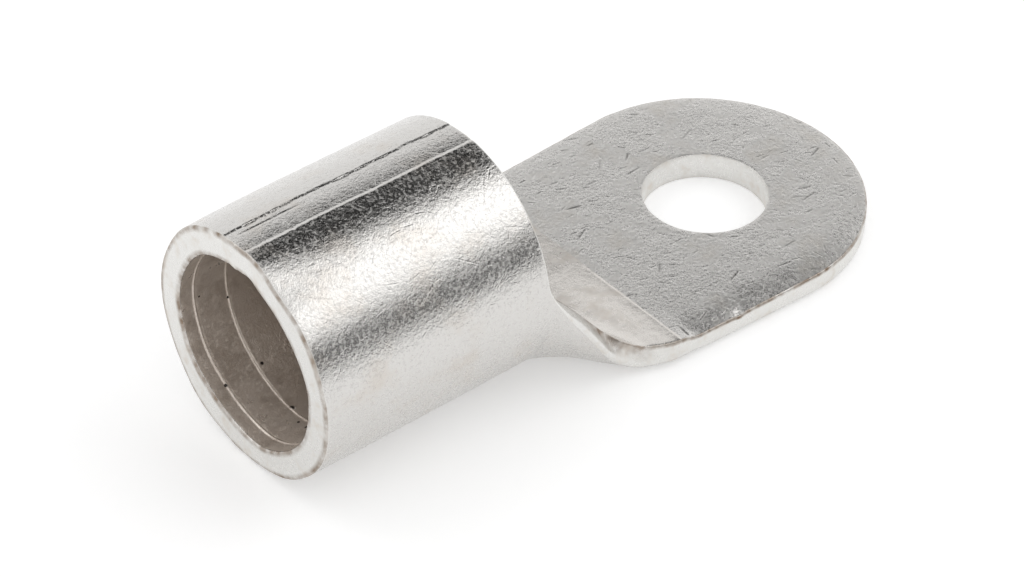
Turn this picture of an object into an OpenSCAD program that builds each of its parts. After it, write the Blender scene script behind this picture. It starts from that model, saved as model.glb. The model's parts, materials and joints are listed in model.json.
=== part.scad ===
// Ring terminal: a rolled barrel that takes the stripped cable, a pressed neck that opens out flat,
// and a round palm with the stud hole. All of it is one piece of sheet.
// The stud hole's centre on the underside is the origin, +X points to the tip, +Z to the top face.

/* [Barrel] */
// Bore that takes the stripped cable
barrel_bore = 13.0; // [12:0.1:14]
// Thickness of the sheet, and so of the barrel wall and the palm
sheet = 2.0; // [1.6:0.1:2.4]
// Length of the barrel
barrel_length = 17.3; // [14:0.1:22]

/* [Palm] */
// Stud hole, with clearance for its bolt
stud_hole = 8.4; // [5.3:0.1:10.5]
// Width across the round end
ring_width = 21.7; // [20.8:0.1:24]
// Width where the coined palm begins
palm_root_width = 20.7; // [19:0.1:20.7]
// From the barrel's rear edge to the middle of the stud hole
hole_to_barrel = 20.7; // [19:0.1:26]

/* [Neck] */
// From the barrel's rear edge to the line where the coined palm begins
neck_length = 9.4; // [8.5:0.1:10.5]
// Width of the flat blank, measured over the bend, where the neck leaves the barrel
neck_front_blank = 23.0; // [21:0.1:24]
// Width of the flat blank at the neck's waist
neck_waist_blank = 18.6; // [17:0.1:20]
// Place of the waist, as a share of the neck
waist_place = 0.57; // [0.4:0.01:0.7]
// Share of the neck over which the curl unrolls
unroll_share = 0.77; // [0.65:0.01:0.9]
// Flat width in the middle of the neck at the palm
neck_flat_width = 15.6; // [10:0.1:18]
// Radius where the barrel's rear edge turns into the neck's side
corner_fillet = 1.8; // [1:0.1:2.4]
// How far the neck's upper face stands above the coined palm
coining_step = 0.1; // [0.06:0.01:0.2]

/* [Edges] */
// Rounding of the barrel's two ends
barrel_edge_radius = 0.25; // [0.15:0.05:0.4]
// Rounding of the cut outline on the upper face
upper_edge_radius = 0.2; // [0.15:0.05:0.4]
// Rounding of the cut outline on the underside, where the shear drew the sheet down
under_edge_radius = 0.5; // [0.3:0.05:0.7]
// Rounding on the stud hole's rims
rim_radius = 0.15; // [0.1:0.05:0.25]

/* [Brazed seam] */
// Angle of the seam from the side, seen from the mouth
seam_angle = 88.5; // [80:0.5:100]
// Depth of the flat strip dressed along the seam
seam_flat_depth = 0.07; // [0.04:0.01:0.12]
// Radius of the groove along one side of the strip
groove_radius = 0.16; // [0.1:0.01:0.25]

/* [Hidden] */
$fn = 96;

tin = "#c9c6c0";
// Faces that would only touch are set this far apart, so that one solid clearly holds the other
skin = 0.02;
// How far the neck reaches into the barrel, and the palm into the neck
overlap = 0.4;
// How far a cutting body stands clear of the metal that it cuts
clear = 1;
barrel_radius = barrel_bore / 2 + sheet;
mid_radius = barrel_bore / 2 + sheet / 2;
ring_radius = ring_width / 2;
barrel_rear = -hole_to_barrel;
barrel_mouth = barrel_rear - barrel_length;
press_line = barrel_rear + neck_length;

// The groove follows one long edge of the flat strip
groove_angle = seam_angle - acos((barrel_radius - seam_flat_depth) / barrel_radius);
end_margin = 1.5;
step_depth = 0.2;
step_width = 0.6;
step_side = 0.05;
ring_line_radius = 0.12;
ring_line_depth = 0.08;
ring_places = [1.1, 3.6];

// The barrel's own frame: x from the mouth, the bore's axis on the x axis
module on_barrel_axis() {
    translate([barrel_mouth, 0, barrel_radius]) children();
}

// What is cut off a square corner at the origin to leave a true arc
module corner_waste(radius) {
    difference() {
        translate([-clear, -clear]) square([radius + clear, radius + clear]);
        translate([radius, radius]) circle(radius);
    }
}

// A bar's section with one radius along its foot and another along its top
module rounded_section(width, height, foot, top) {
    difference() {
        square([width, height]);
        for (x = [0, 1], y = [0, 1])
            translate([x * width, y * height]) mirror([x, 0]) mirror([0, y])
                corner_waste(y == 0 ? foot : top);
    }
}

// ---- barrel ----

module barrel_tube() {
    rotate([0, 90, 0]) rotate_extrude()
        translate([barrel_bore / 2, 0])
            rounded_section(sheet, barrel_length, barrel_edge_radius, barrel_edge_radius);
}

// Flat strip where the brazed joint was dressed
module seam_flat() {
    half = sqrt(2 * barrel_radius * seam_flat_depth);
    rotate([seam_angle - 90, 0, 0])
        translate([-clear, -2 * half, barrel_radius - seam_flat_depth])
            cube([barrel_length + 2 * clear, 4 * half, clear]);
}

// Fine groove left along one side of the strip, which stops short of both ends
module seam_groove() {
    rotate([groove_angle, 0, 0]) translate([end_margin, barrel_radius, 0])
        rotate([0, 90, 0]) cylinder(r = groove_radius, h = barrel_length - 2 * end_margin);
}

// Small step in the rear edge where the two ends of the blank don't quite line up
module seam_step() {
    translate([barrel_length - step_depth, -step_width - step_side, barrel_bore / 2 - clear])
        cube([clear, step_width, sheet + 2 * clear]);
}

// Shallow rings left inside the mouth by the sizing mandrel
module bore_rings() {
    for (place = ring_places)
        rotate([0, 90, 0]) rotate_extrude()
            translate([barrel_bore / 2 + ring_line_depth - ring_line_radius, place])
                circle(ring_line_radius);
}

module barrel() {
    on_barrel_axis() difference() {
        barrel_tube();
        seam_flat();
        seam_groove();
        seam_step();
        bore_rings();
    }
}

// ---- neck: a loft whose sections unroll from the barrel's arc to the flat palm ----

function smooth(v) = let (c = min(max(v, 0), 1)) c * c * (3 - 2 * c);

neck_half_sheet = sheet / 2 - skin;
step_growth = 2;
flat_growth = 1.4;

// Half the blank's width at a distance from the barrel's rear edge
function blank_half(x) =
    let (
        front = neck_front_blank / 2,
        waist = neck_waist_blank / 2,
        root = palm_root_width / 2 - skin,
        place = waist_place * neck_length,
        side = x < place ? front + (waist - front) * smooth(x / place)
            : waist + (root - waist) * smooth((x - place) / (neck_length - place)),
        left = corner_fillet - min(max(x, 0), corner_fillet)
    )
    side + corner_fillet - sqrt(pow(corner_fillet, 2) - pow(left, 2));

// Half the flat stretch in the middle of the section
function flat_half(x) = neck_flat_width / 2 * pow(max(x, 0) / neck_length, flat_growth);

// Height of a face above the sheet's middle layer; the inner face rises to the coining step
function face_height(x, face) =
    face < 0 ? -neck_half_sheet : neck_half_sheet + coining_step * smooth(x / step_growth);
function edge_radius(face) = face < 0 ? under_edge_radius : upper_edge_radius;

// Curvature of the section's sides: the barrel's own at the front, none at the palm
function curl(x) =
    let (v = max(x, 0) / (unroll_share * neck_length))
    (1 - smooth(v * v)) / mid_radius;

// Direction and place of the sheet's middle layer at a distance along the blank
function bend_angle(x, s) = max(abs(s) - flat_half(x), 0) * curl(x) * 180 / PI;
function middle(x, s) =
    let (
        flat = min(flat_half(x), abs(s)),
        bent = abs(s) - flat,
        a = bend_angle(x, s),
        k = curl(x)
    )
    [sign(s) * (flat + (a < 0.01 ? bent : sin(a) / k)), a < 0.01 ? 0 : (1 - cos(a)) / k];

// One side of the sheet at half its thickness, or any point across its cut edge
function on_sheet(x, s, along, out) =
    let (a = bend_angle(x, s) * sign(s), m = middle(x, s))
    [
        barrel_rear + x,
        m[0] + along * cos(a) - out * sin(a),
        sheet / 2 + m[1] + along * sin(a) + out * cos(a)
    ];

across = 24;
corner_steps = 2;
lengthwise = 14;

// A point on the rounding between a face of the sheet and its cut edge
function corner(x, side, face, i) =
    let (a = i * 90 / corner_steps, radius = edge_radius(face))
    on_sheet(
        x,
        side * blank_half(x),
        side * radius * (cos(a) - 1),
        face_height(x, face) - face * radius * (1 - sin(a))
    );

// One face of the sheet from cut edge to cut edge: -1 is the outer face, 1 the inner one
function face_line(x, face) =
    let (reach = blank_half(x) - edge_radius(face), height = face_height(x, face))
    concat(
        [for (i = [0:corner_steps]) corner(x, -1, face, i)],
        [for (i = [1:across - 1]) on_sheet(x, reach * (2 * i / across - 1), 0, height)],
        [for (i = [corner_steps:-1:0]) corner(x, 1, face, i)]
    );

function reversed(list) = [for (i = [len(list) - 1:-1:0]) list[i]];
function section(x) = concat(face_line(x, -1), reversed(face_line(x, 1)));

stations = concat(
    [-overlap],
    [for (a = [0:18:90]) corner_fillet * (1 - cos(a))],
    [for (i = [1:lengthwise]) corner_fillet + (neck_length - corner_fillet) * i / lengthwise]
);

module neck() {
    sections = [for (x = stations) section(x)];
    count = len(sections[0]);
    last = len(stations) - 1;
    // Each quadrilateral is two triangles, seen clockwise from outside
    sides = [
        for (j = [0:last - 1], i = [0:count - 1])
            let (a = j * count + i, b = j * count + (i + 1) % count)
            each [[a, b + count, b], [a, a + count, b + count]]
    ];
    caps = [
        for (i = [0:count / 2 - 2])
            let (a = i, b = i + 1, c = count - 2 - i, d = count - 1 - i, far = last * count)
            each [[a, b, c], [a, c, d], [far + a, far + c, far + b], [far + a, far + d, far + c]]
    ];
    polyhedron([for (ring = sections, point = ring) point], concat(sides, caps));
}

// ---- palm ----

// The straight sides run from the press line to the round end, which they meet as tangents
root_reach = norm([press_line, palm_root_width / 2]);
side_angle = asin(ring_radius / root_reach) - atan2(palm_root_width / 2, -press_line);

module palm_section(width) {
    rounded_section(width, sheet, under_edge_radius, upper_edge_radius);
}

module palm_disc() {
    rotate_extrude()
        difference() {
            translate([-ring_radius, 0]) palm_section(ring_width);
            translate([-ring_radius - clear, -clear])
                square([ring_radius + clear, sheet + 2 * clear]);
        }
}

module palm_side() {
    inner = ring_radius / 2;
    spare = 3;
    rotate([0, 0, side_angle]) translate([press_line - spare, -inner, 0])
        rotate([90, 0, 90]) linear_extrude(spare - press_line)
            palm_section(ring_radius + inner - skin);
}

// What tumbling takes off both rims of a hole through the sheet
module rim_rounding(radius) {
    for (face = [0, 1])
        translate([0, 0, face * sheet]) mirror([0, 0, face]) rotate_extrude()
            translate([radius, 0]) corner_waste(rim_radius);
}

module palm() {
    palm_disc();
    intersection() {
        union() {
            palm_side();
            mirror([0, 1, 0]) palm_side();
        }
        translate([press_line - overlap, -ring_radius, -clear])
            cube([hole_to_barrel, ring_width, sheet + 2 * clear]);
    }
}

module ring_terminal() {
    color(tin) {
        difference() {
            union() {
                barrel();
                neck();
                palm();
            }
            translate([0, 0, -clear]) cylinder(d = stud_hole, h = sheet + 2 * clear);
            rim_rounding(stud_hole / 2);
        }
    }
}

ring_terminal();
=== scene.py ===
"""Looks of a ring terminal: one sheet of copper, rolled, pressed, brazed and tin-plated.

The sheet is drawn flat, as it leaves the stamping die, with every mark that it carries. A Geometry
Nodes tree then rolls its front end into the barrel and lets the neck unroll into the palm, and a
second tree adds the dents of the tumbling drum. Lengths are in millimetres until the piece is
scaled to metres.
"""

import json
import logging
import math
from dataclasses import dataclass, field
from enum import Enum
from functools import partial
from typing import Any, Iterable, Optional, Sequence

import bpy
from mathutils import Matrix, Vector


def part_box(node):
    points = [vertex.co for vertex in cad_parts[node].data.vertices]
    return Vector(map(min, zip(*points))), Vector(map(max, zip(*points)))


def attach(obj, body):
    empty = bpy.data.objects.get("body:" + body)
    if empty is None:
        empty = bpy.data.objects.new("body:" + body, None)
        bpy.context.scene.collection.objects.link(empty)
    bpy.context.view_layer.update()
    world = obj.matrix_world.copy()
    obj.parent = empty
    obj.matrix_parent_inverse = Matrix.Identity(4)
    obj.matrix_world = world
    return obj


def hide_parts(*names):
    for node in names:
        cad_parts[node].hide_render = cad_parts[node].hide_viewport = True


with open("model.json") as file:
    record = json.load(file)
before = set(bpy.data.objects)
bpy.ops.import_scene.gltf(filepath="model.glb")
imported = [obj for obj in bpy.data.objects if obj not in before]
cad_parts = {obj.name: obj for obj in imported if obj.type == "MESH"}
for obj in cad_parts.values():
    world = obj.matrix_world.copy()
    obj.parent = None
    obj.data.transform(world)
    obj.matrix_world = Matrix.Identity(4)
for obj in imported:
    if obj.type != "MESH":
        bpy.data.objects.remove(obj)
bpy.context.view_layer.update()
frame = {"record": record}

LOG = logging.getLogger("ring_terminal")
MM = 0.001
NODE = "ring_terminal"

Point = tuple[float, float, float]


# ---- small helpers ----


def smooth(value: float) -> float:
    """Returns the smooth step of a value that is held between 0 and 1."""
    held = min(max(value, 0.0), 1.0)
    return held * held * (3 - 2 * held)


def bell(value: float, width: float) -> float:
    """Returns a rounded hump that is 1 at zero and nearly 0 at the given width."""
    return math.exp(-3 * (value / width) ** 2)


def linear(hex_colour: str) -> tuple[float, float, float, float]:
    """Turns an sRGB hex colour into the linear colour that the shaders take.

    Args:
        hex_colour: The colour as "#rrggbb".

    Returns:
        Linear red, green and blue, and an alpha of 1.
    """
    parts = [int(hex_colour[i:i + 2], 16) / 255 for i in (1, 3, 5)]
    red, green, blue = [c / 12.92 if c <= 0.04045 else ((c + 0.055) / 1.055) ** 2.4 for c in parts]
    return red, green, blue, 1.0


def add_node(tree: bpy.types.NodeTree, kind: str, inputs: Optional[dict[Any, Any]] = None,
             **settings: Any) -> bpy.types.Node:
    """Adds a node, with its settings, values and incoming links.

    Args:
        tree: The tree that the node goes into.
        kind: The node's type name.
        inputs: Socket name or number to a value, or to the output socket that feeds it.
        **settings: The node's own properties.

    Returns:
        The new node.
    """
    node = tree.nodes.new(kind)
    for name, value in settings.items():
        setattr(node, name, value)
    for key, value in (inputs or {}).items():
        if isinstance(value, bpy.types.NodeSocket):
            tree.links.new(value, node.inputs[key])
        else:
            node.inputs[key].default_value = value
    return node


class NodeMaths:
    """Writes arithmetic into a node tree, one node for each step."""

    def __init__(self, tree: bpy.types.NodeTree) -> None:
        """Keeps the tree that the steps go into."""
        self.tree = tree

    def do(self, operation: str, *values: Any) -> bpy.types.NodeSocket:
        """Adds one step of arithmetic.

        Args:
            operation: The Math node's operation.
            *values: Numbers or sockets.

        Returns:
            The result's socket.
        """
        node = add_node(self.tree, "ShaderNodeMath", dict(enumerate(values)), operation=operation)
        return node.outputs[0]


def empty_tree(owner: bpy.types.ID) -> bpy.types.NodeTree:
    """Gives a material or a world an empty node tree, and returns the tree."""
    owner.use_nodes = True
    owner.node_tree.nodes.clear()
    return owner.node_tree


def geometry_tree(name: str, values: Iterable[str]) -> bpy.types.NodeTree:
    """Starts a Geometry Nodes tree that takes and gives a geometry.

    Args:
        name: The tree's name.
        values: Names of the numbers that it takes.

    Returns:
        The tree, with its sockets and no nodes.
    """
    tree = bpy.data.node_groups.new(name, "GeometryNodeTree")
    for side in ("INPUT", "OUTPUT"):
        tree.interface.new_socket("Geometry", in_out=side, socket_type="NodeSocketGeometry")
    for value in values:
        tree.interface.new_socket(value, in_out="INPUT", socket_type="NodeSocketFloat")
    return tree


def new_object(name: str, points: Sequence[Any], faces: Sequence[Any]) -> bpy.types.Object:
    """Adds an object to the scene, with a mesh of the same name, and returns it."""
    mesh = bpy.data.meshes.new(name)
    mesh.from_pydata(points, [], faces)
    item = bpy.data.objects.new(name, mesh)
    bpy.context.scene.collection.objects.link(item)
    return item


def direction(turn: float, rise: float) -> Vector:
    """Returns the direction at a turn from +X towards +Y and a rise, both in degrees."""
    turned, risen = math.radians(turn), math.radians(rise)
    flat = math.cos(risen)
    return Vector((flat * math.cos(turned), flat * math.sin(turned), math.sin(risen)))


def graded(start: float, stop: float, pitch: float, spots: Sequence[float] = (),
           fine: float = 0.05, reach: float = 0.3) -> list[float]:
    """Divides a stretch into steps that are finer beside given places.

    Args:
        start: Where the stretch begins.
        stop: Where it ends.
        pitch: The usual step.
        spots: Places that need fine steps.
        fine: The step right at a spot.
        reach: How far from a spot the steps stay fine.

    Returns:
        The places of all steps, with both ends.
    """
    places = [start]
    while places[-1] < stop:
        near = min((abs(places[-1] - spot) for spot in spots), default=math.inf)
        share = smooth((near - reach) / (4 * pitch))
        places.append(places[-1] + fine + (pitch - fine) * share)
    stretch = (stop - start) / (places[-1] - start)
    return [start + (place - start) * stretch for place in places]


# ---- finishes ----

# The rim colour is the copper's brown where the plate has worn thin, and along the barrel's rear
# edge it is also painted crease shade, in patches of the given size in millimetres. Dirt is nearly
# black.
RIM_BROWN = "#857464"
SPECK_BLACK = "#2b2622"
WEAR_AND_SHADE_SIZE = 0.8
WEAR_AND_SHADE_CONTRAST = 2.2
WEAR_AND_SHADE_OFFSET = -0.45


class Finish(Enum):
    """The finishes that the one piece shows, by how each of its faces was made."""

    PLATE = 0
    PALM = 1
    BORE = 2
    EDGE = 3
    TROUGH = 4


def scratch_group() -> bpy.types.NodeTree:
    """Builds the node group that draws short straight scratches.

    Each cell may hold one scratch: the plane through its middle with a chance direction meets the
    surface in a line, which fades out before the cell's edge.

    Returns:
        The group, from a vector in scratch lengths to a depth between 0 and 1.
    """
    tree = bpy.data.node_groups.new("crossed_scratches", "ShaderNodeTree")
    for name in ("Vector", "Lean"):
        tree.interface.new_socket(name, in_out="INPUT", socket_type="NodeSocketVector")
    for name in ("Width", "Share"):
        tree.interface.new_socket(name, in_out="INPUT", socket_type="NodeSocketFloat")
    tree.interface.new_socket("Depth", in_out="OUTPUT", socket_type="NodeSocketFloat")
    do = NodeMaths(tree).do
    entry = add_node(tree, "NodeGroupInput")
    cell = add_node(tree, "ShaderNodeTexVoronoi", {"Vector": entry.outputs["Vector"], "Scale": 1.0})
    away = add_node(tree, "ShaderNodeVectorMath",
                    {0: entry.outputs["Vector"], 1: cell.outputs["Position"]}, operation="SUBTRACT")
    centred = add_node(tree, "ShaderNodeVectorMath",
                       {0: cell.outputs["Color"], 1: (0.5, 0.5, 0.5)}, operation="SUBTRACT")
    leaning = add_node(tree, "ShaderNodeVectorMath",
                       {0: centred.outputs[0], 1: entry.outputs["Lean"]}, operation="MULTIPLY")
    across = add_node(tree, "ShaderNodeVectorMath", {0: leaning.outputs[0]}, operation="NORMALIZE")
    offset = add_node(tree, "ShaderNodeVectorMath",
                      {0: away.outputs[0], 1: across.outputs[0]}, operation="DOT_PRODUCT")
    line = add_node(tree, "ShaderNodeMapRange",
                    {"Value": do("ABSOLUTE", offset.outputs["Value"]), "From Min": 0.0,
                     "From Max": entry.outputs["Width"], "To Min": 1.0, "To Max": 0.0},
                    interpolation_type="SMOOTHSTEP")
    taper = add_node(tree, "ShaderNodeMapRange",
                     {"Value": cell.outputs["Distance"], "From Min": 0.25, "From Max": 0.5,
                      "To Min": 1.0, "To Max": 0.0}, interpolation_type="SMOOTHSTEP")
    chance = add_node(tree, "ShaderNodeTexWhiteNoise", {"Vector": cell.outputs["Position"]})
    chosen = do("LESS_THAN", chance.outputs["Value"], entry.outputs["Share"])
    strength = add_node(tree, "ShaderNodeSeparateColor", {0: chance.outputs["Color"]}).outputs[1]
    cut = do("MULTIPLY", line.outputs[0], taper.outputs[0])
    depth = do("MULTIPLY", do("MULTIPLY", cut, chosen), do("MULTIPLY_ADD", strength, 0.7, 0.3))
    add_node(tree, "NodeGroupOutput", {"Depth": depth})
    return tree


@dataclass(frozen=True)
class Scratches:
    """One layer of scratches.

    Attributes:
        length: Their usual length in millimetres.
        width: Their width in millimetres.
        depth: Their depth in millimetres.
        share: Share of the places that hold one.
        lean: How freely their sides face along x, y and z.
        dirt: How dark the dirt in them is, from 0 to 1.
    """

    length: float
    width: float
    depth: float
    share: float = 1.0
    lean: Point = (1.0, 1.0, 1.0)
    dirt: float = 0.0


@dataclass(frozen=True)
class TinFinish:
    """Bright tin plate on copper, in the state that one way of working leaves it.

    Attributes:
        name: The material's name.
        colour: The plate's colour where it is clean.
        stain: The colour of its duller patches, and in the bore also of the painted shade deeper
            in.
        stain_share: How much of the surface the patches take, from 0 to 1.
        stain_size: Size of a patch in millimetres.
        roughness: The roughness between its scratches.
        frost: How much rougher the fine frosted specks are.
        frost_size: Size of those specks in millimetres.
        scratches: The layers of scratches.
        grain_size: Size of the frosting's grain in millimetres.
        grain_depth: Height of that grain in millimetres.
        film: Share of a dull film over the metal.
        painted_depth_shade: Where along x, in millimetres, the painted shade deeper in the bore
            begins and where it is full.
        dross: Places of burnt specks as x, y, z and radius, in millimetres.
        speck_share: Share of the surface with a dark speck on it.
        speck_size: Distance between places for a speck, in millimetres.
    """

    name: str
    colour: str
    stain: str
    stain_share: float
    stain_size: float
    roughness: float
    frost: float
    frost_size: float
    scratches: tuple[Scratches, ...]
    grain_size: float
    grain_depth: float
    speck_share: float = 0.0
    speck_size: float = 1.0
    film: float = 0.0
    painted_depth_shade: Optional[tuple[float, float]] = None
    dross: tuple[tuple[float, float, float, float], ...] = ()


# Real frosting and its scratches are finer than 0.05 mm. They are drawn coarser, so that they show.
# Tin is a warm light grey. Tumbling leaves it frosted, crossed by short bright scratches.
TUMBLED_PLATE = TinFinish(
    "tin_plate_tumbled", colour="#d3d1ce", stain="#cfcac4", stain_share=0.45, stain_size=3.5,
    roughness=0.14, frost=0.24, frost_size=0.22, grain_size=0.26, grain_depth=0.036,
    scratches=(Scratches(1.9, 0.07, 0.01, 0.6), Scratches(1.3, 0.06, 0.01, 0.8),
               Scratches(1.0, 0.06, 0.009), Scratches(0.75, 0.05, 0.007)))
# The coining die leaves the palm matt, with fine pits. Later handling leaves longer, dirty nicks.
COINED_PLATE = TinFinish(
    "tin_plate_coined", colour="#dcdad7", stain="#d6d2cc", stain_share=0.35, stain_size=3.0,
    roughness=0.27, frost=0.14, frost_size=0.22, grain_size=0.24, grain_depth=0.042,
    scratches=(Scratches(1.5, 0.13, 0.035, 0.24, lean=(0.35, 1.0, 0.5), dirt=0.8),
               Scratches(0.8, 0.1, 0.026, 0.4, lean=(0.5, 1.0, 0.5), dirt=0.4),
               Scratches(0.7, 0.06, 0.008)))
# Flux and heat from brazing leave the bore brown-grey and dull in patches. Deeper in, the stain
# colour is painted on more fully, as the shade inside the bore.
STAINED_AND_SHADED_BORE = TinFinish(
    "tin_plate_flux_stained", colour="#d9cfc5", stain="#9a8c7f", stain_share=0.6, stain_size=2.2,
    roughness=0.3, frost=0.2, frost_size=0.3, grain_size=0.3, grain_depth=0.034,
    scratches=(Scratches(0.8, 0.08, 0.006), Scratches(0.6, 0.08, 0.006)),
    speck_share=0.16, speck_size=1.0, film=0.4, painted_depth_shade=(-35.5, -29.0),
    dross=((-34.3, 0.2, 2.0, 0.22), (-34.5, 6.33, 7.04, 0.1), (-36.5, 6.45, 8.05, 0.08)))
# Sheared edges are smoother than the faces. Their rims are warmer where the plate is thin, and
# along the barrel's rear edge that rim brown is painted crease shade.
SHEARED_EDGE = TinFinish(
    "tin_plate_sheared", colour="#e0dfdc", stain="#d6d0c8", stain_share=0.4, stain_size=1.4,
    roughness=0.28, frost=0.1, frost_size=0.3, grain_size=0.3, grain_depth=0.018,
    scratches=(Scratches(0.9, 0.08, 0.005, 0.5), Scratches(0.6, 0.06, 0.004, 0.5)))
# The forming punch burnishes the trough.
PRESSED_TROUGH = TinFinish(
    "tin_plate_pressed", colour="#dcd8d3", stain="#d5cec6", stain_share=0.4, stain_size=3.0,
    roughness=0.26, frost=0.08, frost_size=0.4, grain_size=0.4, grain_depth=0.014,
    scratches=(Scratches(2.4, 0.08, 0.004, 0.5, lean=(1.0, 0.3, 0.3)),
               Scratches(0.9, 0.06, 0.004, 0.6)))

FINISHES = {
    Finish.PLATE: TUMBLED_PLATE,
    Finish.PALM: COINED_PLATE,
    Finish.BORE: STAINED_AND_SHADED_BORE,
    Finish.EDGE: SHEARED_EDGE,
    Finish.TROUGH: PRESSED_TROUGH,
}


class PlateShader:
    """Builds the material of one finish."""

    def __init__(self, finish: TinFinish, scratch: bpy.types.NodeTree) -> None:
        """Starts the material with what all its parts share.

        Args:
            finish: The finish.
            scratch: The group that draws one layer of scratches.
        """
        self.finish = finish
        self.scratch = scratch
        self.material = bpy.data.materials.new(finish.name)
        tree = empty_tree(self.material)
        self.add = partial(add_node, tree)
        self.do = NodeMaths(tree).do
        self.place = self.add("ShaderNodeTexCoord").outputs["Object"]
        self.patches = self.add("ShaderNodeTexNoise",
                                {"Vector": self.place, "Scale": 1 / (finish.stain_size * MM),
                                 "Detail": 5.0, "Roughness": 0.65}).outputs[0]

    def relief(self) -> tuple[bpy.types.NodeSocket, Any]:
        """Adds the height of scratches, grain and burnt dross.

        Returns:
            The height in metres, and the dirt as a socket, or as 0.0 where there is none.
        """
        finish, place, do = self.finish, self.place, self.do
        total: Any = 0.0
        dirt: Any = 0.0
        for number, layer in enumerate(finish.scratches):
            turned = self.add("ShaderNodeMapping",
                              {"Vector": place, "Location": (number * 0.37, number * 0.21, 0.13),
                               "Scale": (1 / (layer.length * MM),) * 3})
            cut = self.add("ShaderNodeGroup", {"Vector": turned.outputs[0], "Lean": layer.lean,
                                               "Width": layer.width / layer.length,
                                               "Share": layer.share},
                           node_tree=self.scratch).outputs[0]
            total = do("ADD", do("MULTIPLY", cut, -layer.depth * MM), total)
            if layer.dirt:
                dirt = do("MULTIPLY_ADD", cut, layer.dirt, dirt)
        grain = self.add("ShaderNodeTexNoise",
                         {"Vector": place, "Scale": 1 / (finish.grain_size * MM), "Detail": 3.0,
                          "Roughness": 0.75}).outputs[0]
        total = do("ADD", total, do("MULTIPLY", grain, finish.grain_depth * MM))
        thickness = 0.12
        for x, y, z, radius in finish.dross:
            away = self.add("ShaderNodeVectorMath", {0: place, 1: (x * MM, y * MM, z * MM)},
                            operation="DISTANCE").outputs["Value"]
            ragged = do("MULTIPLY_ADD", self.patches, radius * MM, away)
            lump = self.add("ShaderNodeMapRange",
                            {"Value": ragged, "From Min": radius * MM,
                             "From Max": 1.6 * radius * MM, "To Min": 1.0, "To Max": 0.0},
                            interpolation_type="SMOOTHSTEP").outputs[0]
            total = do("MULTIPLY_ADD", lump, thickness * MM, total)
            dirt = do("ADD", dirt, lump)
        return total, dirt

    def specks(self) -> bpy.types.NodeSocket:
        """Adds small dark specks at chance places: 1 on a speck and 0 elsewhere."""
        do = self.do
        cell = self.add("ShaderNodeTexVoronoi",
                        {"Vector": self.place, "Scale": 1 / (self.finish.speck_size * MM)})
        chance = self.add("ShaderNodeSeparateColor", {0: cell.outputs["Color"]}).outputs
        chosen = do("LESS_THAN", chance[0], self.finish.speck_share)
        size = do("MULTIPLY_ADD", chance[1], 0.14, 0.05)
        near = do("SUBTRACT", size, cell.outputs["Distance"])
        dot = self.add("ShaderNodeMapRange",
                       {"Value": near, "From Min": -0.02, "From Max": 0.03},
                       interpolation_type="SMOOTHSTEP")
        return do("MULTIPLY", chosen, dot.outputs[0])

    def tint(self) -> bpy.types.NodeSocket:
        """Adds the plate's colour, its stains, the painted shade deep in the bore and the rim
        brown.
        """
        finish, do = self.finish, self.do
        spread = 0.3 * finish.stain_share
        stain_and_depth_shade = self.add("ShaderNodeMapRange",
                           {"Value": self.patches, "From Min": 0.62 - spread,
                            "From Max": 0.85 - spread},
                           interpolation_type="SMOOTHSTEP").outputs[0]
        # Painted shade: the bore takes the stain colour more fully the deeper it goes.
        if finish.painted_depth_shade:
            start, full = finish.painted_depth_shade
            along = self.add("ShaderNodeSeparateXYZ", {0: self.place}).outputs["X"]
            deep = self.add("ShaderNodeMapRange",
                            {"Value": along, "From Min": start * MM, "From Max": full * MM},
                            interpolation_type="SMOOTHSTEP")
            stain_and_depth_shade = do("MAXIMUM", do("MULTIPLY", stain_and_depth_shade, 0.5), deep.outputs[0])
        plate = self.add("ShaderNodeMix",
                         {"Factor": stain_and_depth_shade, "A": linear(finish.colour), "B": linear(finish.stain)},
                         data_type="RGBA").outputs["Result"]
        # The rim brown is worn copper, and along the barrel's rear edge it is painted crease shade.
        rim = self.add("ShaderNodeAttribute", attribute_name="rim").outputs["Fac"]
        wear_and_shade_noise = self.add("ShaderNodeTexNoise",
                        {"Vector": self.place, "Scale": 1 / (WEAR_AND_SHADE_SIZE * MM)}).outputs[0]
        wear_and_shade = do("MULTIPLY", rim, do("MULTIPLY_ADD", wear_and_shade_noise, WEAR_AND_SHADE_CONTRAST, WEAR_AND_SHADE_OFFSET))
        return self.add("ShaderNodeMix",
                        {"Factor": wear_and_shade, "A": plate, "B": linear(RIM_BROWN)},
                        data_type="RGBA", clamp_factor=True).outputs["Result"]

    def dullness(self) -> bpy.types.NodeSocket:
        """Adds the roughness, which varies a little and is higher on fine frosted specks."""
        finish = self.finish
        gloss = self.add("ShaderNodeMapRange",
                         {"Value": self.patches, "From Min": 0.3, "From Max": 0.7,
                          "To Min": finish.roughness * 0.85, "To Max": finish.roughness * 1.15})
        specks = self.add("ShaderNodeTexNoise",
                          {"Vector": self.place, "Scale": 1 / (finish.frost_size * MM),
                           "Detail": 2.0, "Roughness": 0.6})
        frosted = self.add("ShaderNodeMapRange",
                           {"Value": specks.outputs[0], "From Min": 0.48, "From Max": 0.66},
                           interpolation_type="SMOOTHSTEP")
        return self.do("MULTIPLY_ADD", frosted.outputs[0], finish.frost, gloss.outputs[0])

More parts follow.
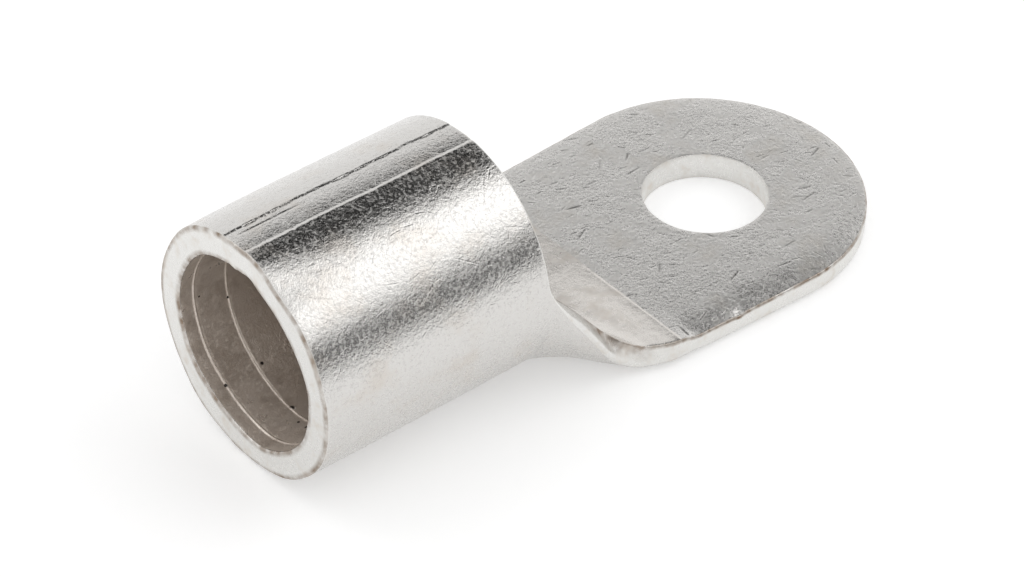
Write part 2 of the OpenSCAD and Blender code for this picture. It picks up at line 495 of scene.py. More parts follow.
    def build(self) -> bpy.types.Material:
        """Builds the rest of the tree and returns the finished material."""
        tint = self.tint()
        height, dirt = self.relief()
        masks = [self.specks()] if self.finish.speck_share else []
        masks += [] if isinstance(dirt, float) else [dirt]
        for mask in masks:
            tint = self.add("ShaderNodeMix",
                            {"Factor": mask, "A": tint, "B": linear(SPECK_BLACK)},
                            data_type="RGBA", clamp_factor=True).outputs["Result"]
        bump = self.add("ShaderNodeBump", {"Height": height, "Strength": 1.0, "Distance": 1.0})
        plate = self.add("ShaderNodeBsdfPrincipled",
                         {"Base Color": tint, "Metallic": 1.0 - self.finish.film,
                          "Roughness": self.dullness(), "Normal": bump.outputs[0]})
        self.add("ShaderNodeOutputMaterial", {"Surface": plate.outputs[0]})
        return self.material


# ---- the terminal ----


@dataclass(frozen=True)
class TerminalSizes:
    """The terminal's sizes in millimetres, worked out from the frame.

    The blank's own coordinates are used: x from the barrel's rear edge to the tip, s across the
    sheet from its middle line, and a height above the sheet's middle layer.
    """

    bore_radius: float
    barrel_length: float
    sheet: float
    hole_radius: float
    ring_radius: float
    rear: float
    neck_length: float = 9.4
    corner_fillet: float = 1.8
    root_half: float = 10.35
    front_half: float = 11.5
    waist_half: float = 9.3
    waist_place: float = 0.57
    unroll_share: float = 0.77
    flat_half: float = 7.8
    edge_radius: float = 0.16
    under_edge_radius: float = 0.5
    neck_under_radius: float = 0.6
    mouth_radius: float = 0.18
    hole_edge_radius: float = 0.08

    @classmethod
    def from_frame(cls) -> "TerminalSizes":
        """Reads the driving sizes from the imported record's mounts and the solid's box."""
        mounts = {mount["name"]: mount for mount in frame["record"]["mounts"]}
        socket = mounts["cable_socket"]
        low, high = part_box(NODE)
        length = socket["dims"]["length_mm"]
        bore = socket["dims"]["r_mm"]
        axis_height = socket["pos_m"][2] / MM
        return cls(
            bore_radius=bore,
            barrel_length=length,
            sheet=axis_height - bore,
            hole_radius=mounts["stud_hole"]["dims"]["r_mm"],
            ring_radius=high.x / MM,
            rear=low.x / MM + length,
        )

    @property
    def middle_radius(self) -> float:
        """Radius of the sheet's middle layer in the barrel."""
        return self.bore_radius + self.sheet / 2

    @property
    def half_round(self) -> float:
        """Half the blank's width at the barrel, which closes at the seam."""
        return math.pi * self.middle_radius

    @property
    def hole_place(self) -> float:
        """Distance from the barrel's rear edge to the stud hole's centre."""
        return -self.rear

    @property
    def side_angle(self) -> float:
        """Angle by which the palm's straight sides spread towards the round end."""
        along = self.hole_place - self.neck_length
        reach = math.hypot(along, self.root_half)
        return math.asin(self.ring_radius / reach) - math.atan2(self.root_half, along)

    def neck_half(self, x: float, inset: float = 0.0) -> float:
        """Returns half the blank's width in the neck.

        Args:
            x: Distance behind the barrel's rear edge.
            inset: How far inside the cut edge the line runs.

        Returns:
            The half width, including the fillet at the barrel.
        """
        place = self.waist_place * self.neck_length
        if x < place:
            side = self.front_half + (self.waist_half - self.front_half) * smooth(x / place)
        else:
            share = smooth((x - place) / (self.neck_length - place))
            side = self.waist_half + (self.root_half - self.waist_half) * share
        radius = self.corner_fillet + inset
        left = min(max(self.corner_fillet - x, 0.0), radius)
        return side - inset + radius - math.sqrt(radius ** 2 - left ** 2)


@dataclass(frozen=True)
class MouthMark:
    """A place round the mouth where the wall bulges or is pushed in.

    Attributes:
        angle: Its angle from the near side's horizontal, in degrees.
        width: How far round it reaches, in degrees.
        outside: How far the outer face stands out there, in millimetres.
        inside: How far the bore's wall moves outwards there, in millimetres.
    """

    angle: float
    width: float
    outside: float
    inside: float


@dataclass(frozen=True)
class Seam:
    """The dressed strip along the brazed seam, with its two grooves and its raised lip.

    Angles are in degrees round the barrel, and sizes in millimetres.

    Attributes:
        strip_angle: Where the strip begins.
        groove_angle: Where the long groove runs.
        second_angle: Where the short groove beside the mouth runs.
        lip_angle: Where the lip runs, at which the strip ends.
        fine_angle: Middle of the stretch that the mesh divides finely for the lip.
        strip_depth: How deep the strip lies.
        groove: Depth and width of the long groove.
        second: Depth and width of the short groove.
        second_length: How far from the mouth the short groove ends.
        lip: Height and width of the lip.
        lip_change: How much that height changes along the lip.
    """

    strip_angle: float = 80.6
    groove_angle: float = 81.2
    second_angle: float = 85.2
    lip_angle: float = 96.8
    fine_angle: float = 96.2
    strip_depth: float = 0.06
    groove: tuple[float, float] = (0.07, 0.14)
    second: tuple[float, float] = (0.04, 0.12)
    second_length: float = 5.6
    lip: tuple[float, float] = (0.02, 0.22)
    lip_change: float = 0.014

    def offset(self, angle: float, along: float, length: float, radius: float) -> float:
        """Returns how far the marks change the barrel's outer radius.

        Args:
            angle: Angle round the barrel.
            along: Distance from the mouth.
            length: The barrel's length.
            radius: The barrel's outer radius.

        Returns:
            The change in millimetres, positive outwards.
        """
        per_degree = math.radians(radius)
        ends = smooth((along - 0.4) / 1.2) * smooth((length - along) / 0.9)
        wander = 0.35 * math.sin(along * 0.8) + 0.2 * math.sin(along * 2.1 + 1)
        depth, width = self.groove
        groove = -depth * bell((angle - self.groove_angle - wander) * per_degree, width)
        groove *= 0.1 + 0.9 * smooth(0.6 + 2.2 * math.sin(along * 6.1) * math.sin(along * 2.3 + 2))
        depth, width = self.second
        second = -depth * bell((angle - self.second_angle) * per_degree, width)
        second *= smooth((self.second_length - along) / 1.5)
        lip_angle = self.lip_angle + 0.5 * wander + 0.15 * math.sin(along * 7.3)
        strip = -self.strip_depth * smooth((angle - self.strip_angle) / 1.2)
        strip *= smooth((lip_angle - angle) / 1.7)
        height, width = self.lip
        bead = height + self.lip_change * math.sin(along * 4.1) * math.sin(along * 9.7)
        lip = bead * bell((angle - lip_angle - 0.2) * per_degree, width)
        return strip + (groove + second + lip) * ends


class Blank:
    """The flat blank, with the marks that it carries, as one closed mesh.

    Vertices hold blank coordinates: x behind the barrel's rear edge, s across, height above the
    sheet's middle layer. The barrel's two long edges meet at the seam once it is rolled.
    """

    OUTER = -1
    INNER = 1

    def __init__(self, sizes: TerminalSizes, pitch: float = 0.24) -> None:
        """Prepares an empty blank.

        Args:
            sizes: The terminal's sizes.
            pitch: Usual distance between vertices, in millimetres.
        """
        self.sizes = sizes
        self.pitch = pitch
        self.points: list[Point] = []
        self.rim: list[float] = []
        self.faces: list[tuple[int, ...]] = []
        self.finish: list[int] = []
        self.seam = Seam()
        self.ring_places = (1.14, 3.57)
        self.mouth_marks = (
            MouthMark(30, 40, -0.28, -0.22), MouthMark(-54, 22, 0.24, 0.0),
            MouthMark(-36, 24, 0.05, 0.16), MouthMark(-100, 26, -0.1, 0.2),
            MouthMark(-136, 24, -0.08, -0.05), MouthMark(165, 28, 0.0, 0.2),
            MouthMark(144, 16, 0.05, 0.0), MouthMark(120, 18, -0.3, -0.03),
            MouthMark(101, 9, 0.06, 0.22), MouthMark(75, 30, -0.12, -0.1),
        )

    # -- marks on the faces --

    def rolled_angle(self, s: float) -> float:
        """Returns the angle round the barrel, in degrees from the far side, up over the top."""
        return -90 + math.degrees(s / self.sizes.middle_radius)

    def mouth_offset(self, x: float, s: float, face: int) -> float:
        """Returns how far a face is pushed out beside the mouth."""
        depth = x + self.sizes.barrel_length
        fade = math.exp(-max(depth, 0.0) / 2.6)
        total = 0.0
        for mark in self.mouth_marks:
            away = (self.rolled_angle(s) - mark.angle + 180) % 360 - 180
            total += bell(away, mark.width) * (mark.outside if face == self.OUTER else mark.inside)
        return total * fade

    def seam_offset(self, x: float, s: float) -> float:
        """Returns how far the marks along the seam change the outer radius."""
        sizes = self.sizes
        return self.seam.offset(self.rolled_angle(s) % 360, x + sizes.barrel_length,
                                sizes.barrel_length, sizes.middle_radius + sizes.sheet / 2)

    def bore_offset(self, x: float, s: float) -> float:
        """Returns how far the mandrel's rings stand into the bore."""
        depth = x + self.sizes.barrel_length
        first, second = self.ring_places
        ring_height, ring_width, braze_angle = 0.07, 0.12, 88.5
        rings = (ring_height * bell(depth - first, ring_width)
                 + ring_height * bell(depth - second, ring_width))
        steps = 0.05 * smooth((depth - first) / 0.2) - 0.04 * smooth((depth - second) / 0.2)
        away = math.radians(self.rolled_angle(s) % 360 - braze_angle) * self.sizes.bore_radius
        braze = 0.07 * bell(away, 0.35) - 0.05 * bell(away + 0.55, 0.2)
        return rings + steps + braze

    def edge_distance(self, x: float, s: float) -> float:
        """Returns a palm point's distance from the cut edge."""
        sizes = self.sizes
        along, across = x - sizes.hole_place, abs(s)
        turn = sizes.side_angle
        if along > -math.tan(turn) * across:
            return sizes.ring_radius - math.hypot(along, across)
        return sizes.ring_radius + math.sin(turn) * along - math.cos(turn) * across

    def palm_offset(self, x: float, s: float) -> float:
        """Returns how far coining and tumbling lower the palm's face towards its edge."""
        inside = self.edge_distance(x, s)
        start = smooth((x - self.sizes.neck_length) / 1.5)
        near_side = smooth((-s - 5.5) / 4.5)
        root = 1 - smooth((x - self.sizes.neck_length - 4) / 9)
        rounding_width, sag_width, sag_depth = 2.2, 6, 0.11
        rounding = (0.05 + 0.2 * near_side) * max(1 - inside / rounding_width, 0.0) ** 2
        sag = sag_depth * root * smooth(-s / 6) * max(1 - inside / sag_width, 0.0) ** 2
        nick_x, nick_s, nick_depth, nick_width = 14.2, -10.5, 0.15, 0.6
        nick = nick_depth * bell(math.hypot(x - nick_x, s - nick_s), nick_width)
        return -(rounding + sag) * start - nick

    def height(self, x: float, s: float, face: int) -> float:
        """Returns a face's height above the sheet's middle layer, with its marks.

        Args:
            x: Distance behind the barrel's rear edge.
            s: Distance across from the middle line.
            face: OUTER or INNER.

        Returns:
            The height in millimetres, negative on the outer face.
        """
        half = self.sizes.sheet / 2
        change = 0.0
        if x < 0.5:
            radial = self.mouth_offset(x, s, face)
            if face == self.OUTER:
                radial += self.seam_offset(x, s)
            else:
                radial -= self.bore_offset(x, s)
            change = -radial
        if x > self.sizes.neck_length:
            change += face * self.palm_offset(x, s) * (1.0 if face == self.INNER else 0.5)
        if face == self.INNER:
            change += self.trough_step(x, s)
        elif x > 0:
            change += self.neck_edge_roll(x, s)
        return face * half + change

    def trough_step(self, x: float, s: float) -> float:
        """Returns how far the trough stands above the coined face that it slopes down to."""
        ahead = self.sizes.neck_length - x
        near_side = smooth((0.5 - s) / 7)
        rise = 0.06 * near_side + (0.03 + 0.22 * near_side) * smooth(ahead / 3.2)
        return rise * smooth((ahead + 0.05) / 0.12) * smooth(x / 2)

    def neck_edge_roll(self, x: float, s: float) -> float:
        """Returns how far the sheet thins from below towards the neck's drawn edges."""
        width, rise = 1.7, 0.3
        amount = smooth(x / 2.5) * (1 - smooth((x - 8) / 5))
        if amount == 0.0:
            return 0.0
        near = max(1 - max(self.side_half(x, self.OUTER) - abs(s), 0.0) / width, 0.0)
        return rise * near ** 2 * amount

    # -- the mesh --

    def add(self, x: float, s: float, height: float, rim: float = 0.0) -> int:
        """Adds a vertex, with its share of the rim colour, and returns its number."""
        self.points.append((x, s, height))
        self.rim.append(rim)
        return len(self.points) - 1

    def quad(self, corners: tuple[int, int, int, int], face: int, finish: Finish) -> None:
        """Adds a quadrilateral in the inner face's order, which is turned for the outer one."""
        self.faces.append(corners if face == self.INNER else corners[::-1])
        self.finish.append(finish.value)

    def grid(self, rows: list[list[int]], face: int, finish: Finish) -> None:
        """Joins rows of vertices, which follow each other along x, with quadrilaterals."""
        for low, high in zip(rows, rows[1:]):
            for i in range(len(low) - 1):
                self.quad((low[i], high[i], high[i + 1], low[i + 1]), face, finish)

    def columns(self) -> tuple[list[float], list[float], list[float]]:
        """Returns the places across the barrel: far of the neck, in line with it, and beyond."""
        sizes = self.sizes
        middle = sizes.middle_radius
        reach = sizes.neck_half(-sizes.edge_radius, sizes.edge_radius)
        seam = [math.radians(angle + 90) * middle
                for angle in (self.seam.groove_angle, self.seam.second_angle)]
        ridge = -math.radians(270 - self.seam.fine_angle) * middle
        low = graded(-sizes.half_round, -reach, self.pitch, [ridge])
        count = round(2 * reach / self.pitch)
        middle_part = [-reach + 2 * reach * i / count for i in range(count + 1)]
        high = graded(reach, sizes.half_round, self.pitch, seam)
        return low, middle_part, high

    def face_sheet(self, face: int) -> dict[str, list[int]]:
        """Builds one face of the blank, inside its rounded edges.

        Args:
            face: OUTER or INNER.

        Returns:
            Its boundary vertices in order: the mouth, the outline and the hole.
        """
        sizes = self.sizes
        low, middle, high = self.columns()
        across = low[:-1] + middle + high[1:]
        start, stop = -sizes.barrel_length + sizes.mouth_radius, -sizes.edge_radius
        rings = [-sizes.barrel_length + place for place in self.ring_places]
        barrel_x = graded(start, stop, self.pitch * 1.15, rings, fine=0.045, reach=0.15)
        barrel = [[self.add(x, s, self.height(x, s, face)) for s in across] for x in barrel_x]
        self.grid(barrel, face, Finish.PLATE if face == self.OUTER else Finish.BORE)

        left, right = len(low) - 1, len(low) + len(middle) - 2
        neck = [barrel[-1][left:right + 1]]
        radius = sizes.corner_fillet + sizes.edge_radius
        turns = 9
        neck_x = [stop + radius * (1 - math.cos(math.pi / 2 * i / turns))
                  for i in range(1, turns + 1)]
        neck_x += graded(sizes.corner_fillet, sizes.neck_length, self.pitch,
                         [sizes.neck_length], fine=0.05, reach=0.15)[1:]
        neck_x += [sizes.neck_length + 0.05, sizes.neck_length + 0.1]
        for x in neck_x:
            half = self.side_half(x, face)
            row = [half * (2 * i / (len(middle) - 1) - 1) for i in range(len(middle))]
            neck.append([self.add(x, s, self.height(x, s, face)) for s in row])
        self.grid(neck, face, Finish.PLATE if face == self.OUTER else Finish.TROUGH)

        outer_loop, hole_loop = self.palm_sheet(neck[-1], face)
        far_side = [row[-1] for row in neck[1:]]
        near_side = [row[0] for row in neck[1:]]
        count = len(middle)
        outline = (
            barrel[-1][right + 1:][::-1] + [neck[0][-1]] + far_side
            + outer_loop[count:] + near_side[::-1] + [neck[0][0]] + barrel[-1][:left][::-1]
        )
        return {"mouth": barrel[0], "outline": outline, "hole": hole_loop}

    def edge_radius(self, x: float, face: int) -> float:
        """Returns the radius between a face and the cut edge, which is largest under the neck."""
        sizes = self.sizes
        if face == self.INNER or x <= 0:
            return sizes.edge_radius
        grown = sizes.under_edge_radius - sizes.edge_radius
        swell = sizes.neck_under_radius - sizes.under_edge_radius
        return (sizes.edge_radius + grown * smooth(x / 2.5)
                + swell * smooth(x / 3) * (1 - smooth((x - 5.5) / 4)))

    def side_half(self, x: float, face: int) -> float:
        """Returns half the width inside the rounded edge, in the neck or just behind it."""
        sizes = self.sizes
        inset = self.edge_radius(x, face)
        if x <= sizes.neck_length:
            return sizes.neck_half(x, inset)
        spread = math.tan(sizes.side_angle) * (x - sizes.neck_length)
        return sizes.root_half + spread - inset

    def palm_sheet(self, first_row: list[int], face: int) -> tuple[list[int], list[int]]:
        """Builds one face of the palm as rings between its outline and the hole.

        Args:
            first_row: The neck's last row of vertices, from the near side to the far side.
            face: OUTER or INNER.

        Returns:
            The outline's vertices, from first_row on round the tip, and the hole's.
        """
        sizes = self.sizes
        turn = sizes.side_angle
        start_x = self.points[first_row[0]][0] - sizes.hole_place
        start_s = self.side_half(self.points[first_row[0]][0], face)
        radius = sizes.ring_radius - self.edge_radius(sizes.hole_place, face)
        end_x, end_s = -radius * math.sin(turn), radius * math.cos(turn)
        steps = round((abs(start_x) - sizes.ring_radius * math.sin(turn)) / self.pitch)
        side = [(start_x + (end_x - start_x) * i / steps, start_s + (end_s - start_s) * i / steps)
                for i in range(1, steps)]
        sweep = math.pi + 2 * turn
        parts = round(sizes.ring_radius * sweep / self.pitch)
        arc = [(radius * math.cos(a), radius * math.sin(a))
               for a in (math.pi / 2 + turn - sweep * i / parts for i in range(parts + 1))]
        rest = side + arc + [(x, -s) for x, s in reversed(side)]
        loop = list(first_row)
        for along, s in rest:
            x = along + sizes.hole_place
            loop.append(self.add(x, s, self.height(x, s, face)))
        flat = [(self.points[i][0] - sizes.hole_place, self.points[i][1]) for i in loop]
        inner = sizes.hole_radius + sizes.hole_edge_radius
        rings = round((sizes.ring_radius - inner) / self.pitch)
        loops = [loop]
        for ring in range(1, rings + 1):
            share = ring / rings
            row = []
            for along, s in flat:
                length = math.hypot(along, s)
                scale = (length + (inner - length) * share) / length
                x = along * scale + sizes.hole_place
                row.append(self.add(x, s * scale, self.height(x, s * scale, face)))
            loops.append(row)
        for out, into in zip(loops, loops[1:]):
            for i in range(len(out)):
                j = (i + 1) % len(out)
                self.quad((out[i], into[i], into[j], out[j]), face, Finish.PALM)
        return loop, loops[-1]

    def edge(self, inner: list[int], outer: list[int], radius: float, closed: bool,
             outward: int, wear_and_shade: float = 1.0) -> None:
        """Joins the two faces with a cut edge whose corners are rounded.

        Args:
            inner: Boundary vertices of the inner face, in order.
            outer: The same of the outer face.
            radius: The roundings' radius, or 0 where it changes along the outline.
            closed: Whether the boundary is a loop.
            outward: 1 where the metal lies to the right of the boundary's direction, -1 where it
                lies to the left.
            wear_and_shade: Share of the rim colour on the rounded corners: worn copper, and along
                the barrel's rear edge painted crease shade.
        """
        quarter, wall = 4, 6
        wall_brown_place, wall_brown_reach = 4.8, 3.8
        steps = [(0, i / quarter) for i in range(1, quarter + 1)]
        steps += [(1, i / wall) for i in range(1, wall)]
        steps += [(2, 1 - i / quarter) for i in range(quarter)]
        count = len(inner)
        rows = [inner] + [[] for _ in steps] + [outer]
        for i in range(count):
            before = self.points[inner[i - 1 if closed or i else 0]]
            after = self.points[inner[(i + 1) % count if closed or i < count - 1 else i]]
            along, across = after[0] - before[0], after[1] - before[1]
            length = math.hypot(along, across) / outward
            normal = Vector((-across / length, along / length, 0))
            high, low = (Vector(self.points[face[i]]) for face in (inner, outer))
            above = radius or self.edge_radius(high.x, self.INNER)
            below = radius or self.edge_radius(low.x, self.OUTER)
            top = high + normal * above - Vector((0, 0, above))
            foot = low + normal * below + Vector((0, 0, below))
            for row, (stage, share) in enumerate(steps, 1):
                out, down = math.sin(math.pi / 2 * share), 1 - math.cos(math.pi / 2 * share)
                if stage == 0:
                    place = high + normal * above * out - Vector((0, 0, above * down))
                elif stage == 1:
                    place = top.lerp(foot, share)
                else:
                    place = low + normal * below * out + Vector((0, 0, below * down))
                # The rim colour on the rounded corners is worn copper, and along the barrel's rear
                # edge painted crease shade.
                rim = wear_and_shade if stage == 0 or (stage == 2 and radius) else 0.0
                # On the neck's cut wall the rim colour makes a darker brown band round the given
                # place.
                if stage == 1 and not radius:
                    rim = min(1.4 * (1 - share), 1.0) * bell(place.x - wall_brown_place, wall_brown_reach)
                rows[row].append(self.add(*place, rim))
        for high_row, low_row in zip(rows, rows[1:]):
            for i in range(count if closed else count - 1):
                j = (i + 1) % count
                corners = (high_row[i], low_row[i], low_row[j], high_row[j])
                self.quad(corners, -outward, Finish.EDGE)

    def build(self) -> bpy.types.Object:
        """Builds the whole blank.

        Returns:
            The blank as an object whose faces carry the number of their finish.
        """
        sizes = self.sizes
        inner, outer = self.face_sheet(self.INNER), self.face_sheet(self.OUTER)
        # The outline's rounded corners take the full rim colour, which along the barrel's rear edge
        # is painted crease shade.
        self.edge(inner["outline"], outer["outline"], 0.0, False, 1)
        self.edge(inner["mouth"], outer["mouth"], sizes.mouth_radius, False, 1, 0.85)
        self.edge(inner["hole"], outer["hole"], sizes.hole_edge_radius, True, -1, 0.2)
        item = new_object("ring_terminal_sheet", self.points, self.faces)
        mesh = item.data
        finish = mesh.attributes.new("finish", "INT", "FACE")
        finish.data.foreach_set("value", self.finish)
        rim = mesh.attributes.new("rim", "FLOAT", "POINT")
        rim.data.foreach_set("value", self.rim)
        return item


@dataclass(frozen=True)
class Forming:
    """Rolls the blank's front end into the barrel and lets the neck unroll into the palm."""

    sizes: TerminalSizes

    @property
    def values(self) -> dict[str, float]:
        """The tree's named inputs, in millimetres."""
        sizes = self.sizes
        return {
            "Middle radius": sizes.middle_radius,
            "Neck length": sizes.neck_length,
            "Unroll length": sizes.unroll_share * sizes.neck_length,
            "Flat half width": sizes.flat_half,
            "Rear place": sizes.rear,
            "Half sheet": sizes.sheet / 2,
        }

    def tree(self, materials: dict[Finish, bpy.types.Material]) -> bpy.types.NodeTree:
        """Builds the tree.

        Args:
            materials: The material of each finish.

        Returns:
            The tree, with its sizes as named inputs.
        """
        tree = geometry_tree("roll_and_unroll", self.values)
        entry = add_node(tree, "NodeGroupInput").outputs
        do = NodeMaths(tree).do
        here = add_node(tree, "ShaderNodeSeparateXYZ",
                        {0: add_node(tree, "GeometryNodeInputPosition").outputs[0]}).outputs
        behind = do("MAXIMUM", here["X"], 0.0)
        unrolled = do("DIVIDE", behind, entry["Unroll length"])
        squared = do("MINIMUM", do("MULTIPLY", unrolled, unrolled), 1.0)
        eased = add_node(tree, "ShaderNodeMapRange",
                         {"Value": squared, "To Min": 1.0, "To Max": 1e-5},
                         interpolation_type="SMOOTHSTEP").outputs[0]
        curl = do("DIVIDE", eased, entry["Middle radius"])
        share = do("MINIMUM", do("DIVIDE", behind, entry["Neck length"]), 1.0)
        flat = do("MULTIPLY", do("POWER", share, 1.4), entry["Flat half width"])
        side = do("SIGN", here["Y"])
        width = do("ABSOLUTE", here["Y"])
        bend = do("MULTIPLY", do("MAXIMUM", do("SUBTRACT", width, flat), 0.0), curl)
        straight = do("MINIMUM", width, flat)
        sine, cosine = do("SINE", bend), do("COSINE", bend)
        half_sine = do("SINE", do("MULTIPLY", bend, 0.5))
        reach = do("ADD", straight, do("DIVIDE", sine, curl))
        rise = do("DIVIDE", do("MULTIPLY", do("MULTIPLY", half_sine, half_sine), 2.0), curl)
        across = do("MULTIPLY", side, do("SUBTRACT", reach, do("MULTIPLY", here["Z"], sine)))
        up = do("ADD", do("ADD", rise, entry["Half sheet"]), do("MULTIPLY", here["Z"], cosine))
        along = do("ADD", here["X"], entry["Rear place"])
        place = add_node(tree, "ShaderNodeCombineXYZ", {0: along, 1: across, 2: up})
        metres = add_node(tree, "ShaderNodeVectorMath", {0: place.outputs[0], "Scale": MM},
                          operation="SCALE")
        bent = add_node(tree, "GeometryNodeSetPosition",
                        {"Geometry": entry["Geometry"], "Position": metres.outputs[0]})
        joined = add_node(tree, "GeometryNodeMergeByDistance",
                          {"Geometry": bent.outputs[0], "Distance": 0.004 * MM})
        smooth_faces = add_node(tree, "GeometryNodeSetShadeSmooth", {"Geometry": joined.outputs[0]})
        dressed = add_node(tree, "GeometryNodeRealizeInstances",
                           {"Geometry": smooth_faces.outputs[0]}).outputs[0]
        number = add_node(tree, "GeometryNodeInputNamedAttribute", {"Name": "finish"},
                          data_type="INT").outputs[0]
        for finish, material in materials.items():
            chosen = add_node(tree, "FunctionNodeCompare", {2: number, 3: finish.value},
                              data_type="INT", operation="EQUAL")
            dressed = add_node(tree, "GeometryNodeSetMaterial",
                               {"Geometry": dressed, "Selection": chosen.outputs[0],
                                "Material": material}).outputs[0]
        add_node(tree, "NodeGroupOutput", {0: dressed})
        return tree


@dataclass
class Tumbling:
    """Dents that the tumbling drum leaves in the sheet's faces."""

    values: dict[str, float] = field(default_factory=lambda: {
        "Wave size": 4.5, "Wave depth": 0.02, "Dent size": 0.75, "Dent depth": 0.016, "Seed": 7.0,
    })

    def tree(self) -> bpy.types.NodeTree:
        """Builds the tree, with its sizes and its seed as named inputs."""
        tree = geometry_tree("tumbling_dents", self.values)
        entry = add_node(tree, "NodeGroupInput").outputs
        do = NodeMaths(tree).do
        place = add_node(tree, "GeometryNodeInputPosition").outputs[0]
        heights = []
        for kind, detail in (("Wave", 1.0), ("Dent", 2.0)):
            scale = do("DIVIDE", 1 / MM, entry[f"{kind} size"])
            noise = add_node(tree, "ShaderNodeTexNoise",
                             {"Vector": place, "W": entry["Seed"], "Scale": scale,
                              "Detail": detail}, noise_dimensions="4D")
            inward = do("SUBTRACT", noise.outputs[0], 0.85)
            heights.append(do("MULTIPLY", do("MULTIPLY", inward, 2.0 * MM), entry[f"{kind} depth"]))
        height = do("ADD", heights[0], heights[1])
        normal = add_node(tree, "GeometryNodeInputNormal").outputs[0]
        push = add_node(tree, "ShaderNodeVectorMath", {0: normal, "Scale": height},
                        operation="SCALE")
        moved = add_node(tree, "GeometryNodeSetPosition",
                         {"Geometry": entry["Geometry"], "Offset": push.outputs[0]})
        add_node(tree, "NodeGroupOutput", {0: moved.outputs[0]})
        return tree


def apply_tree(item: bpy.types.Object, tree: bpy.types.NodeTree, values: dict[str, float]) -> None:
    """Runs a Geometry Nodes tree on an object and keeps the result as its plain mesh.

    Args:
        item: The object.
        tree: The tree.
        values: The tree's named inputs.
    """
    modifier = item.modifiers.new(tree.name, "NODES")
    modifier.node_group = tree
    for socket in tree.interface.items_tree:
        if socket.in_out == "INPUT" and socket.name in values:
            modifier[socket.identifier] = values[socket.name]
    evaluated = item.evaluated_get(bpy.context.evaluated_depsgraph_get())
    mesh = bpy.data.meshes.new_from_object(evaluated)
    item.modifiers.remove(modifier)
    old = item.data
    item.data = mesh
    bpy.data.meshes.remove(old)


@dataclass
class RingTerminal:
    """The terminal, from its flat blank to the tumbled and plated piece."""

    sizes: TerminalSizes

    def build(self) -> bpy.types.Object:
        """Builds and dresses the piece, and ties it to the frame."""
        scratches = scratch_group()
        materials = {finish: PlateShader(look, scratches).build()
                     for finish, look in FINISHES.items()}
        blank = Blank(self.sizes)
        piece = blank.build()
        forming = Forming(self.sizes)
        tree = forming.tree(materials)
        apply_tree(piece, tree, forming.values)
        tumbling = Tumbling()
        dents = tumbling.tree()
        apply_tree(piece, dents, tumbling.values)
        piece.name = "ring_terminal_body"
        piece.data.name = "ring_terminal_body"
        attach(piece, "root")
        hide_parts(NODE)
        piece.data.calc_loop_triangles()
        LOG.info("%s: %d vertices, %d faces, %d triangles", piece.name, len(piece.data.vertices),
                 len(piece.data.polygons), len(piece.data.loop_triangles))
        return piece


# ---- the studio ----


@dataclass(frozen=True)
class Panel:
    """A curved panel that stands round the terminal, seen only in its reflections.

    Attributes:
        name: The panel's name.
        turn: Its two sides, in degrees from +X towards +Y.
        height: Its lower and upper edge, in degrees above the floor's level.
        colour: Its colour.
        distance: Its distance in metres.
    """

    name: str
    turn: tuple[float, float]
    height: tuple[float, float]
    colour: str
    distance: float = 0.6

    def build(self, centre: Vector) -> None:
        """Builds the panel round the given centre."""
        steps = 16
        points, faces = [], []
        for i in range(steps + 1):
            rise = self.height[0] + (self.height[1] - self.height[0]) * i / steps
            for j in range(steps + 1):
                turn = self.turn[0] + (self.turn[1] - self.turn[0]) * j / steps
                points.append(centre + direction(turn, rise) * self.distance)
        for i in range(steps):
            for j in range(steps):
                a = i * (steps + 1) + j
                faces.append((a, a + steps + 1, a + steps + 2, a + 1))
        item = new_object(self.name, points, faces)
        material = bpy.data.materials.new(self.name)
        tree = empty_tree(material)
        glow = add_node(tree, "ShaderNodeEmission", {"Color": linear(self.colour), "Strength": 1.0})
        add_node(tree, "ShaderNodeOutputMaterial", {"Surface": glow.outputs[0]})
        item.data.materials.append(material)
        item.visible_camera = False
        item.visible_diffuse = False
        item.visible_shadow = False


@dataclass(frozen=True)
class Softbox:
    """A square lamp that faces the terminal.

    Attributes:
        name: The lamp's name.
        turn: Its direction in degrees from +X towards +Y.
        rise: Its direction's height in degrees.
        distance: Its distance in metres.
        size: The box's side in metres.
        energy: Its power in watts.
    """

    name: str
    turn: float
    rise: float
    distance: float
    size: float
    energy: float

    def build(self, centre: Vector) -> None:
        """Places the lamp so that it faces the given centre."""
        light = bpy.data.lights.new(self.name, "AREA")
        light.shape = "SQUARE"
        light.size = self.size
        light.energy = self.energy
        item = bpy.data.objects.new(self.name, light)
        ray = direction(self.turn, self.rise)
        item.location = centre + ray * self.distance
        item.rotation_euler = ray.to_track_quat("Z", "Y").to_euler()
        bpy.context.scene.collection.objects.link(item)


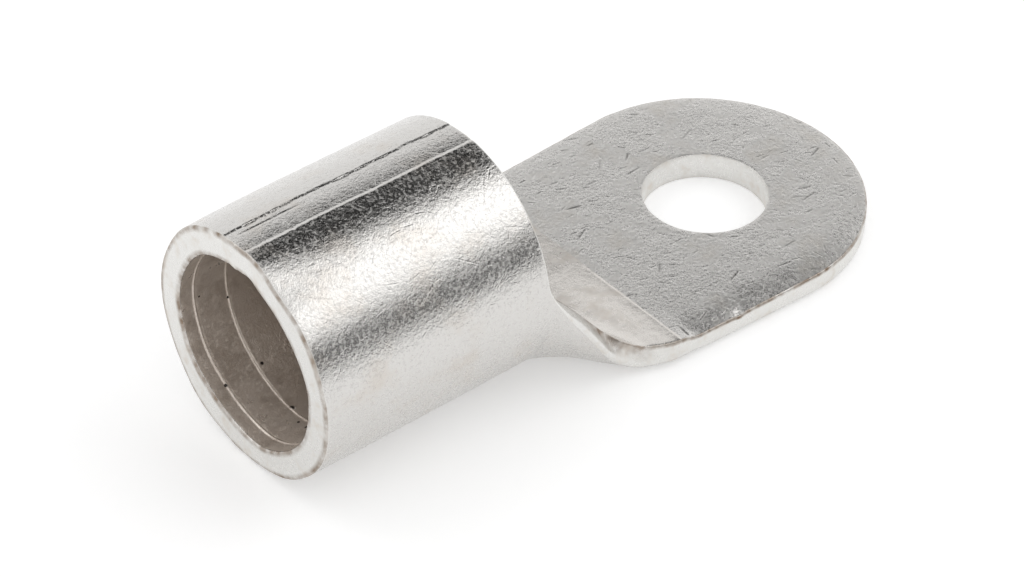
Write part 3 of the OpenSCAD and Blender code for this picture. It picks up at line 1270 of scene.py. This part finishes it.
@dataclass(frozen=True)
class Studio:
    """A pale floor in a white tent, with two dark gaps that give the bright metal its form."""

    centre: Point = (-19.59, -3.33, 6.09)
    camera_turn: float = -39.99
    camera_rise: float = 39.66
    camera_roll: float = 0.45
    camera_distance: float = 209.48
    lens: float = 117.58
    sensor: float = 36.0
    floor_size: float = 3.0
    floor_colour: str = "#f2f2f2"
    floor_fill: float = 0.3
    tent_light: float = 0.8
    panels: tuple[Panel, ...] = (
        Panel("overhead_gap", turn=(-9, 72), height=(40, 78), colour="#2c2c2c"),
        Panel("horizon_gap", turn=(-88, -30), height=(2, 21), colour="#4a4a4a"),
    )
    lamps: tuple[Softbox, ...] = (
        Softbox("side_softbox", turn=-33, rise=47, distance=0.45, size=0.3, energy=0.22),
        Softbox("back_softbox", turn=120, rise=50, distance=0.6, size=0.3, energy=0.2),
    )

    @staticmethod
    def seen_directly(tree: bpy.types.NodeTree) -> bpy.types.NodeSocket:
        """Returns 1 for rays from the camera, a reflection or a glass, and 0 for the rest."""
        path = add_node(tree, "ShaderNodeLightPath").outputs
        do = NodeMaths(tree).do
        either = do("MAXIMUM", path["Is Camera Ray"], path["Is Glossy Ray"])
        return do("MAXIMUM", either, path["Is Transmission Ray"])

    def world(self) -> None:
        """Makes the white tent, which lights at a plain level."""
        world = bpy.data.worlds.new("tent")
        bpy.context.scene.world = world
        tree = empty_tree(world)
        seen = self.seen_directly(tree)
        light = add_node(tree, "ShaderNodeBackground",
                         {"Color": (1, 1, 1, 1), "Strength": self.tent_light})
        shown = add_node(tree, "ShaderNodeBackground", {"Color": (1, 1, 1, 1), "Strength": 1.0})
        mix = add_node(tree, "ShaderNodeMixShader",
                       {0: seen, 1: light.outputs[0], 2: shown.outputs[0]})
        add_node(tree, "ShaderNodeOutputWorld", {"Surface": mix.outputs[0]})

    def floor(self) -> None:
        """Makes the plain pale floor, which keeps the terminal's shadow."""
        half = self.floor_size / 2
        corners = [(-half, -half, 0), (half, -half, 0), (half, half, 0), (-half, half, 0)]
        item = new_object("floor", corners, [(0, 1, 2, 3)])
        material = bpy.data.materials.new("floor_paper")
        tree = empty_tree(material)
        paper = add_node(tree, "ShaderNodeBsdfDiffuse", {"Color": linear(self.floor_colour)})
        glow = NodeMaths(tree).do("MULTIPLY", self.seen_directly(tree), self.floor_fill)
        fill = add_node(tree, "ShaderNodeEmission", {"Color": (1, 1, 1, 1), "Strength": glow})
        both = add_node(tree, "ShaderNodeAddShader", {0: paper.outputs[0], 1: fill.outputs[0]})
        add_node(tree, "ShaderNodeOutputMaterial", {"Surface": both.outputs[0]})
        item.data.materials.append(material)

    def camera(self) -> None:
        """Places the camera."""
        turn, rise = math.radians(self.camera_turn), math.radians(self.camera_rise)
        roll = math.radians(self.camera_roll)
        back = Vector((math.sin(turn) * math.cos(rise), -math.cos(turn) * math.cos(rise),
                       math.sin(rise)))
        right = (-back).cross(Vector((0, 0, 1))).normalized()
        up = right.cross(-back)
        tilted_right = math.cos(roll) * right + math.sin(roll) * up
        tilted_up = math.cos(roll) * up - math.sin(roll) * right
        data = bpy.data.cameras.new("camera")
        data.lens = self.lens
        data.sensor_width = self.sensor
        data.clip_start = 0.01
        item = bpy.data.objects.new("camera", data)
        turned = Matrix((tilted_right, tilted_up, back)).transposed().to_4x4()
        where = Vector(self.centre) * MM + back * self.camera_distance * MM
        item.matrix_world = Matrix.Translation(where) @ turned
        bpy.context.scene.collection.objects.link(item)
        bpy.context.scene.camera = item

    def build(self) -> None:
        """Builds the floor, the tent, the panels, the lamps and the camera."""
        self.world()
        self.floor()
        centre = Vector(self.centre) * MM
        for stand in self.panels + self.lamps:
            stand.build(centre)
        self.camera()
        bpy.context.scene.view_settings.view_transform = "Standard"
        LOG.info("studio built")


def main() -> None:
    """Builds the terminal and its studio."""
    logging.basicConfig(level=logging.INFO, format="%(name)s: %(message)s")
    sizes = TerminalSizes.from_frame()
    RingTerminal(sizes).build()
    Studio().build()


if __name__ == "__main__":
    main()
